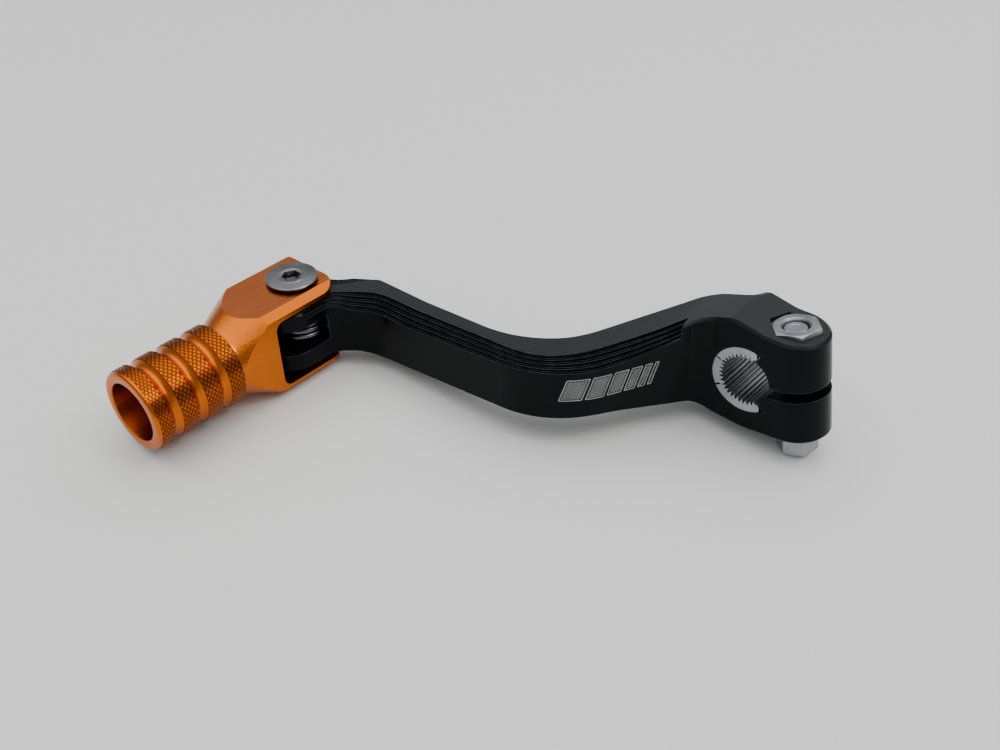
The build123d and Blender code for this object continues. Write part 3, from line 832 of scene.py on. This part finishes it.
def make_insert():
    """C-shaped steel liner with sharp serrations, its faces slightly chamfered at the teeth."""
    half = BORE_LENGTH / 2
    section = insert_section()
    inset = half - INSERT_CHAMFER

    def build(work):
        def line(radii_and_angles, y):
            level = Vector((0, y, 0))
            return [work.verts.new(LEAN @ (polar(r, a) + level)) for r, a in radii_and_angles]

        layers = []
        for y, relief in ((-half, INSERT_CHAMFER), (-inset, 0), (inset, 0), (half, INSERT_CHAMFER)):
            inner = line([(bore_r + relief, a) for a, bore_r, _ in section], y)
            outer = line([(rim_r - relief * RIM_CHAMFER_SHARE, a) for a, _, rim_r in section], y)
            layers.append((inner, outer))
        count = len(layers[0][0])
        for (inner, outer), (next_inner, next_outer) in zip(layers, layers[1:]):
            for number in range(count - 1):
                work.faces.new((inner[number], inner[number + 1], next_inner[number + 1], next_inner[number]))
                work.faces.new((outer[number], outer[number + 1], next_outer[number + 1], next_outer[number]))
            for end in (0, -1):
                work.faces.new((inner[end], outer[end], next_outer[end], next_inner[end]))
        for inner, outer in (layers[0], layers[-1]):
            for number in range(count - 1):
                work.faces.new((inner[number], inner[number + 1], outer[number + 1], outer[number]))

    piece = object_from("serrated_liner", build)
    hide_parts("spline_insert")
    finish_piece(piece, "arm", BROACHED, sharp=20)


# ---------------------------------------------------------------- etched bars on the arm's near face

FACE_CORNERS = [(-79.8, -45.1), (-28.9, -41.1), (-11.7, -7.65)]
FACE_ROUNDING = 24.5 * MM
BAR_WIDTHS = [5.2, 4.3, 3.4, 2.5, 1.6, 0.8]
BAR_GAP = 0.9 * MM
BAR_HEIGHT = 5.6 * MM
BAR_MIDDLE_Z = 0.2 * MM
BAR_SLANT = 1.9 * MM
BARS_START = -11.0 * MM
STROKE = 0.26 * MM
HATCH_STROKE = 0.2 * MM
HATCH_PITCH = 0.62 * MM
HATCH_SLOPE = 0.7
HATCH_INSET = 1.4 * STROKE
HATCH_LEAST = 0.12             # shortest line kept, as a share of a full one
STRIP_STEP = 0.5 * MM
SUNK = -0.05 * MM
PROUD = 0.012 * MM


def face_point(travel, out):
    """Point on the arm's near face in plan.
    Travel is 0 where the crank's rounding ends, and grows towards the clamp."""
    before, corner, after = [Vector(c) * MM for c in FACE_CORNERS]
    a, b = (before - corner).normalized(), (after - corner).normalized()
    half = a.angle(b) / 2
    outward = Vector((b.y, -b.x))
    tangent = corner + b * FACE_ROUNDING / tan(half)
    if travel >= 0:
        return tangent + b * travel + outward * out
    centre = tangent - outward * FACE_ROUNDING
    turn = Matrix.Rotation(travel / FACE_ROUNDING, 2)
    return centre + turn @ (outward * (FACE_ROUNDING + out))


def etched_strip(work, start, end, width):
    """Thin line between two (travel, z) points, laid on the face."""
    start, end = Vector(start), Vector(end)
    side = Vector((-(end - start).y, (end - start).x)).normalized() * width / 2
    steps = max(2, int((end - start).length / STRIP_STEP))
    rows = []
    for step in range(steps + 1):
        middle = start.lerp(end, step / steps)
        row = []
        left, right = middle - side, middle + side
        for place, out in ((left, SUNK), (left, PROUD), (right, PROUD), (right, SUNK)):
            flat = face_point(place.x, out)
            row.append(work.verts.new((flat.x, flat.y, place.y)))
        rows.append(row)
    for low, high in zip(rows, rows[1:]):
        for number in range(4):
            following = (number + 1) % 4
            work.faces.new((low[number], low[following], high[following], high[number]))
    work.faces.new(rows[0])
    work.faces.new(rows[-1][::-1])


def hatch(work, left, right, low, high):
    """Slanted lines that fill one bar inside its outline."""
    inside_left, inside_right = left + HATCH_INSET, right - HATCH_INSET
    inside_low, inside_high = low + HATCH_INSET, high - HATCH_INSET
    rise = HATCH_SLOPE * (inside_right - inside_left)
    lines = int((inside_high - inside_low + rise) / HATCH_PITCH)
    for line in range(lines + 1):
        z = inside_low - rise + HATCH_PITCH * line
        start, end = max(0, (inside_low - z) / rise), min(1, (inside_high - z) / rise)
        if end - start > HATCH_LEAST:
            ends = []
            for share in (start, end):
                level = z + rise * share
                shift = BAR_SLANT * (level - low) / (high - low)
                ends.append((inside_left + (inside_right - inside_left) * share + shift, level))
            etched_strip(work, ends[0], ends[1], HATCH_STROKE)


def make_etching():
    """A row of slanted bars that get narrower, outlined and finely hatched."""
    low, high = BAR_MIDDLE_Z - BAR_HEIGHT / 2, BAR_MIDDLE_Z + BAR_HEIGHT / 2

    def build(work):
        left = BARS_START
        for width in BAR_WIDTHS:
            right = left + width * MM
            corners = [(left, low), (right, low), (right + BAR_SLANT, high), (left + BAR_SLANT, high)]
            for first, second in zip(corners, corners[1:] + corners[:1]):
                etched_strip(work, first, second, STROKE)
            hatch(work, left, right, low, high)
            left = right + BAR_GAP

    piece = object_from("etched_bars", build)
    finish_piece(piece, "arm", ETCH)


# ---------------------------------------------------------------- nodes kept from the CAD model

def paint_cad_nodes():
    for node, material in (
        ("lever_arm", BLACK), ("spring_sleeve", TURNED), ("upper_bush", BRONZE), ("lower_bush", BRONZE),
        ("upper_washer", POLYMER), ("lower_washer", POLYMER),
    ):
        mesh = frame["nodes"][node].data
        mesh.materials.clear()
        mesh.materials.append(material)


# ---------------------------------------------------------------- floor, light and camera

def pale_surface(name, colour):
    surface = Surface(name, colour, 0.0, 0.6, 0.3)
    cloud = surface.noise(surface.place, 3, 3)
    other = tuple(0.985 * c for c in colour)
    surface.set("Base Color", surface.mix(cloud, colour, other))
    return surface.material


FLOOR_SIZE = 6.0
FLOOR_GAP = 0.02 * MM


def make_floor():
    """Pale table top that touches the bolt's head and the clevis, which the lever rests on."""
    nodes = frame["nodes"]
    bolt_low = min((v.co for v in nodes["clamp_bolt"].data.vertices), key=lambda co: co.z)
    tip_points = [v.co for v in nodes["toe_tip"].data.vertices]
    slope = max((bolt_low.z - co.z) / (bolt_low.x - co.x) for co in tip_points)
    along = Vector((1, 0, slope)).normalized()
    size = FLOOR_SIZE / 2
    middle = Vector((bolt_low.x, 0, bolt_low.z - FLOOR_GAP))

    def build(work):
        square = ((-size, -size), (size, -size), (size, size), (-size, size))
        corners = [middle + along * x + Vector((0, y, 0)) for x, y in square]
        work.faces.new([work.verts.new(c) for c in corners])

    floor = object_from("floor", build)
    floor.data.materials.append(pale_surface("pale_table", (0.80, 0.80, 0.78)))


def add_light(name, place, target, size, power, colour):
    data = bpy.data.lights.new(name, "AREA")
    data.shape = "RECTANGLE"
    data.size, data.size_y = size
    data.energy = power
    data.color = colour
    light = bpy.data.objects.new(name, data)
    light.location = place
    light.rotation_mode = "QUATERNION"
    light.rotation_quaternion = (Vector(target) - Vector(place)).to_track_quat("-Z", "Y")
    bpy.context.scene.collection.objects.link(light)


HORIZON_GLOW = 0.37
CEILING_GLOW = 2.25
GLOW_START = 0.42              # height of the direction above which the room brightens
ROOM_TINT = (0.97, 0.99, 1.0)
KEY_PLACE = (0.42, 0.12, 0.62)
KEY_TARGET = (-0.045, -0.04, 0)
KEY_SIZE = (0.18, 0.18)
KEY_POWER = 0.9
KEY_COLOUR = (1.0, 0.98, 0.95)


def make_light():
    """A room with a bright ceiling and dim walls, with one soft box for the glints on edges."""
    world = bpy.data.worlds.new("soft_room")
    bpy.context.scene.world = world
    world.use_nodes = True
    nodes, links = world.node_tree.nodes, world.node_tree.links
    background = nodes["Background"]
    direction = nodes.new("ShaderNodeTexCoord").outputs["Generated"]
    parts = nodes.new("ShaderNodeSeparateXYZ")
    links.new(direction, parts.inputs[0])
    fade = nodes.new("ShaderNodeMapRange")
    fade.interpolation_type = "SMOOTHSTEP"
    limits = (
        ("From Min", GLOW_START), ("From Max", 1.0), ("To Min", HORIZON_GLOW), ("To Max", CEILING_GLOW),
    )
    for name, number in limits:
        fade.inputs[name].default_value = number
    links.new(parts.outputs["Z"], fade.inputs["Value"])
    tint = nodes.new("ShaderNodeVectorMath")
    tint.operation = "SCALE"
    tint.inputs[0].default_value = ROOM_TINT
    links.new(fade.outputs["Result"], tint.inputs["Scale"])
    links.new(tint.outputs["Vector"], background.inputs["Color"])
    add_light("key", KEY_PLACE, KEY_TARGET, KEY_SIZE, KEY_POWER, KEY_COLOUR)


CAMERA_PLACE = Vector((89.88, -189.75, 151.36)) * MM
CAMERA_AZIMUTH = radians(-41.93)
CAMERA_ELEVATION = radians(37.08)
CAMERA_ROLL = radians(-1.77)
CAMERA_LENS = 39.6
CAMERA_SENSOR = 36


def make_camera():
    a, e = CAMERA_AZIMUTH, CAMERA_ELEVATION
    forward = Vector((sin(a) * cos(e), cos(a) * cos(e), -sin(e)))
    right = Vector((cos(a), -sin(a), 0))
    up = right.cross(forward)
    rolled_right = right * cos(CAMERA_ROLL) + up * sin(CAMERA_ROLL)
    rolled_up = up * cos(CAMERA_ROLL) - right * sin(CAMERA_ROLL)
    data = bpy.data.cameras.new("camera")
    data.lens = CAMERA_LENS
    data.sensor_width = CAMERA_SENSOR
    camera = bpy.data.objects.new("camera", data)
    turn = Matrix((rolled_right, rolled_up, -forward)).transposed().to_4x4()
    camera.matrix_world = Matrix.Translation(CAMERA_PLACE) @ turn
    bpy.context.scene.collection.objects.link(camera)
    bpy.context.scene.camera = camera


paint_cad_nodes()
make_toe_tip()
make_pin()
make_spring()
make_clamp_bolt()
make_clamp_nut()
make_insert()
make_etching()
make_floor()
make_light()
make_camera()
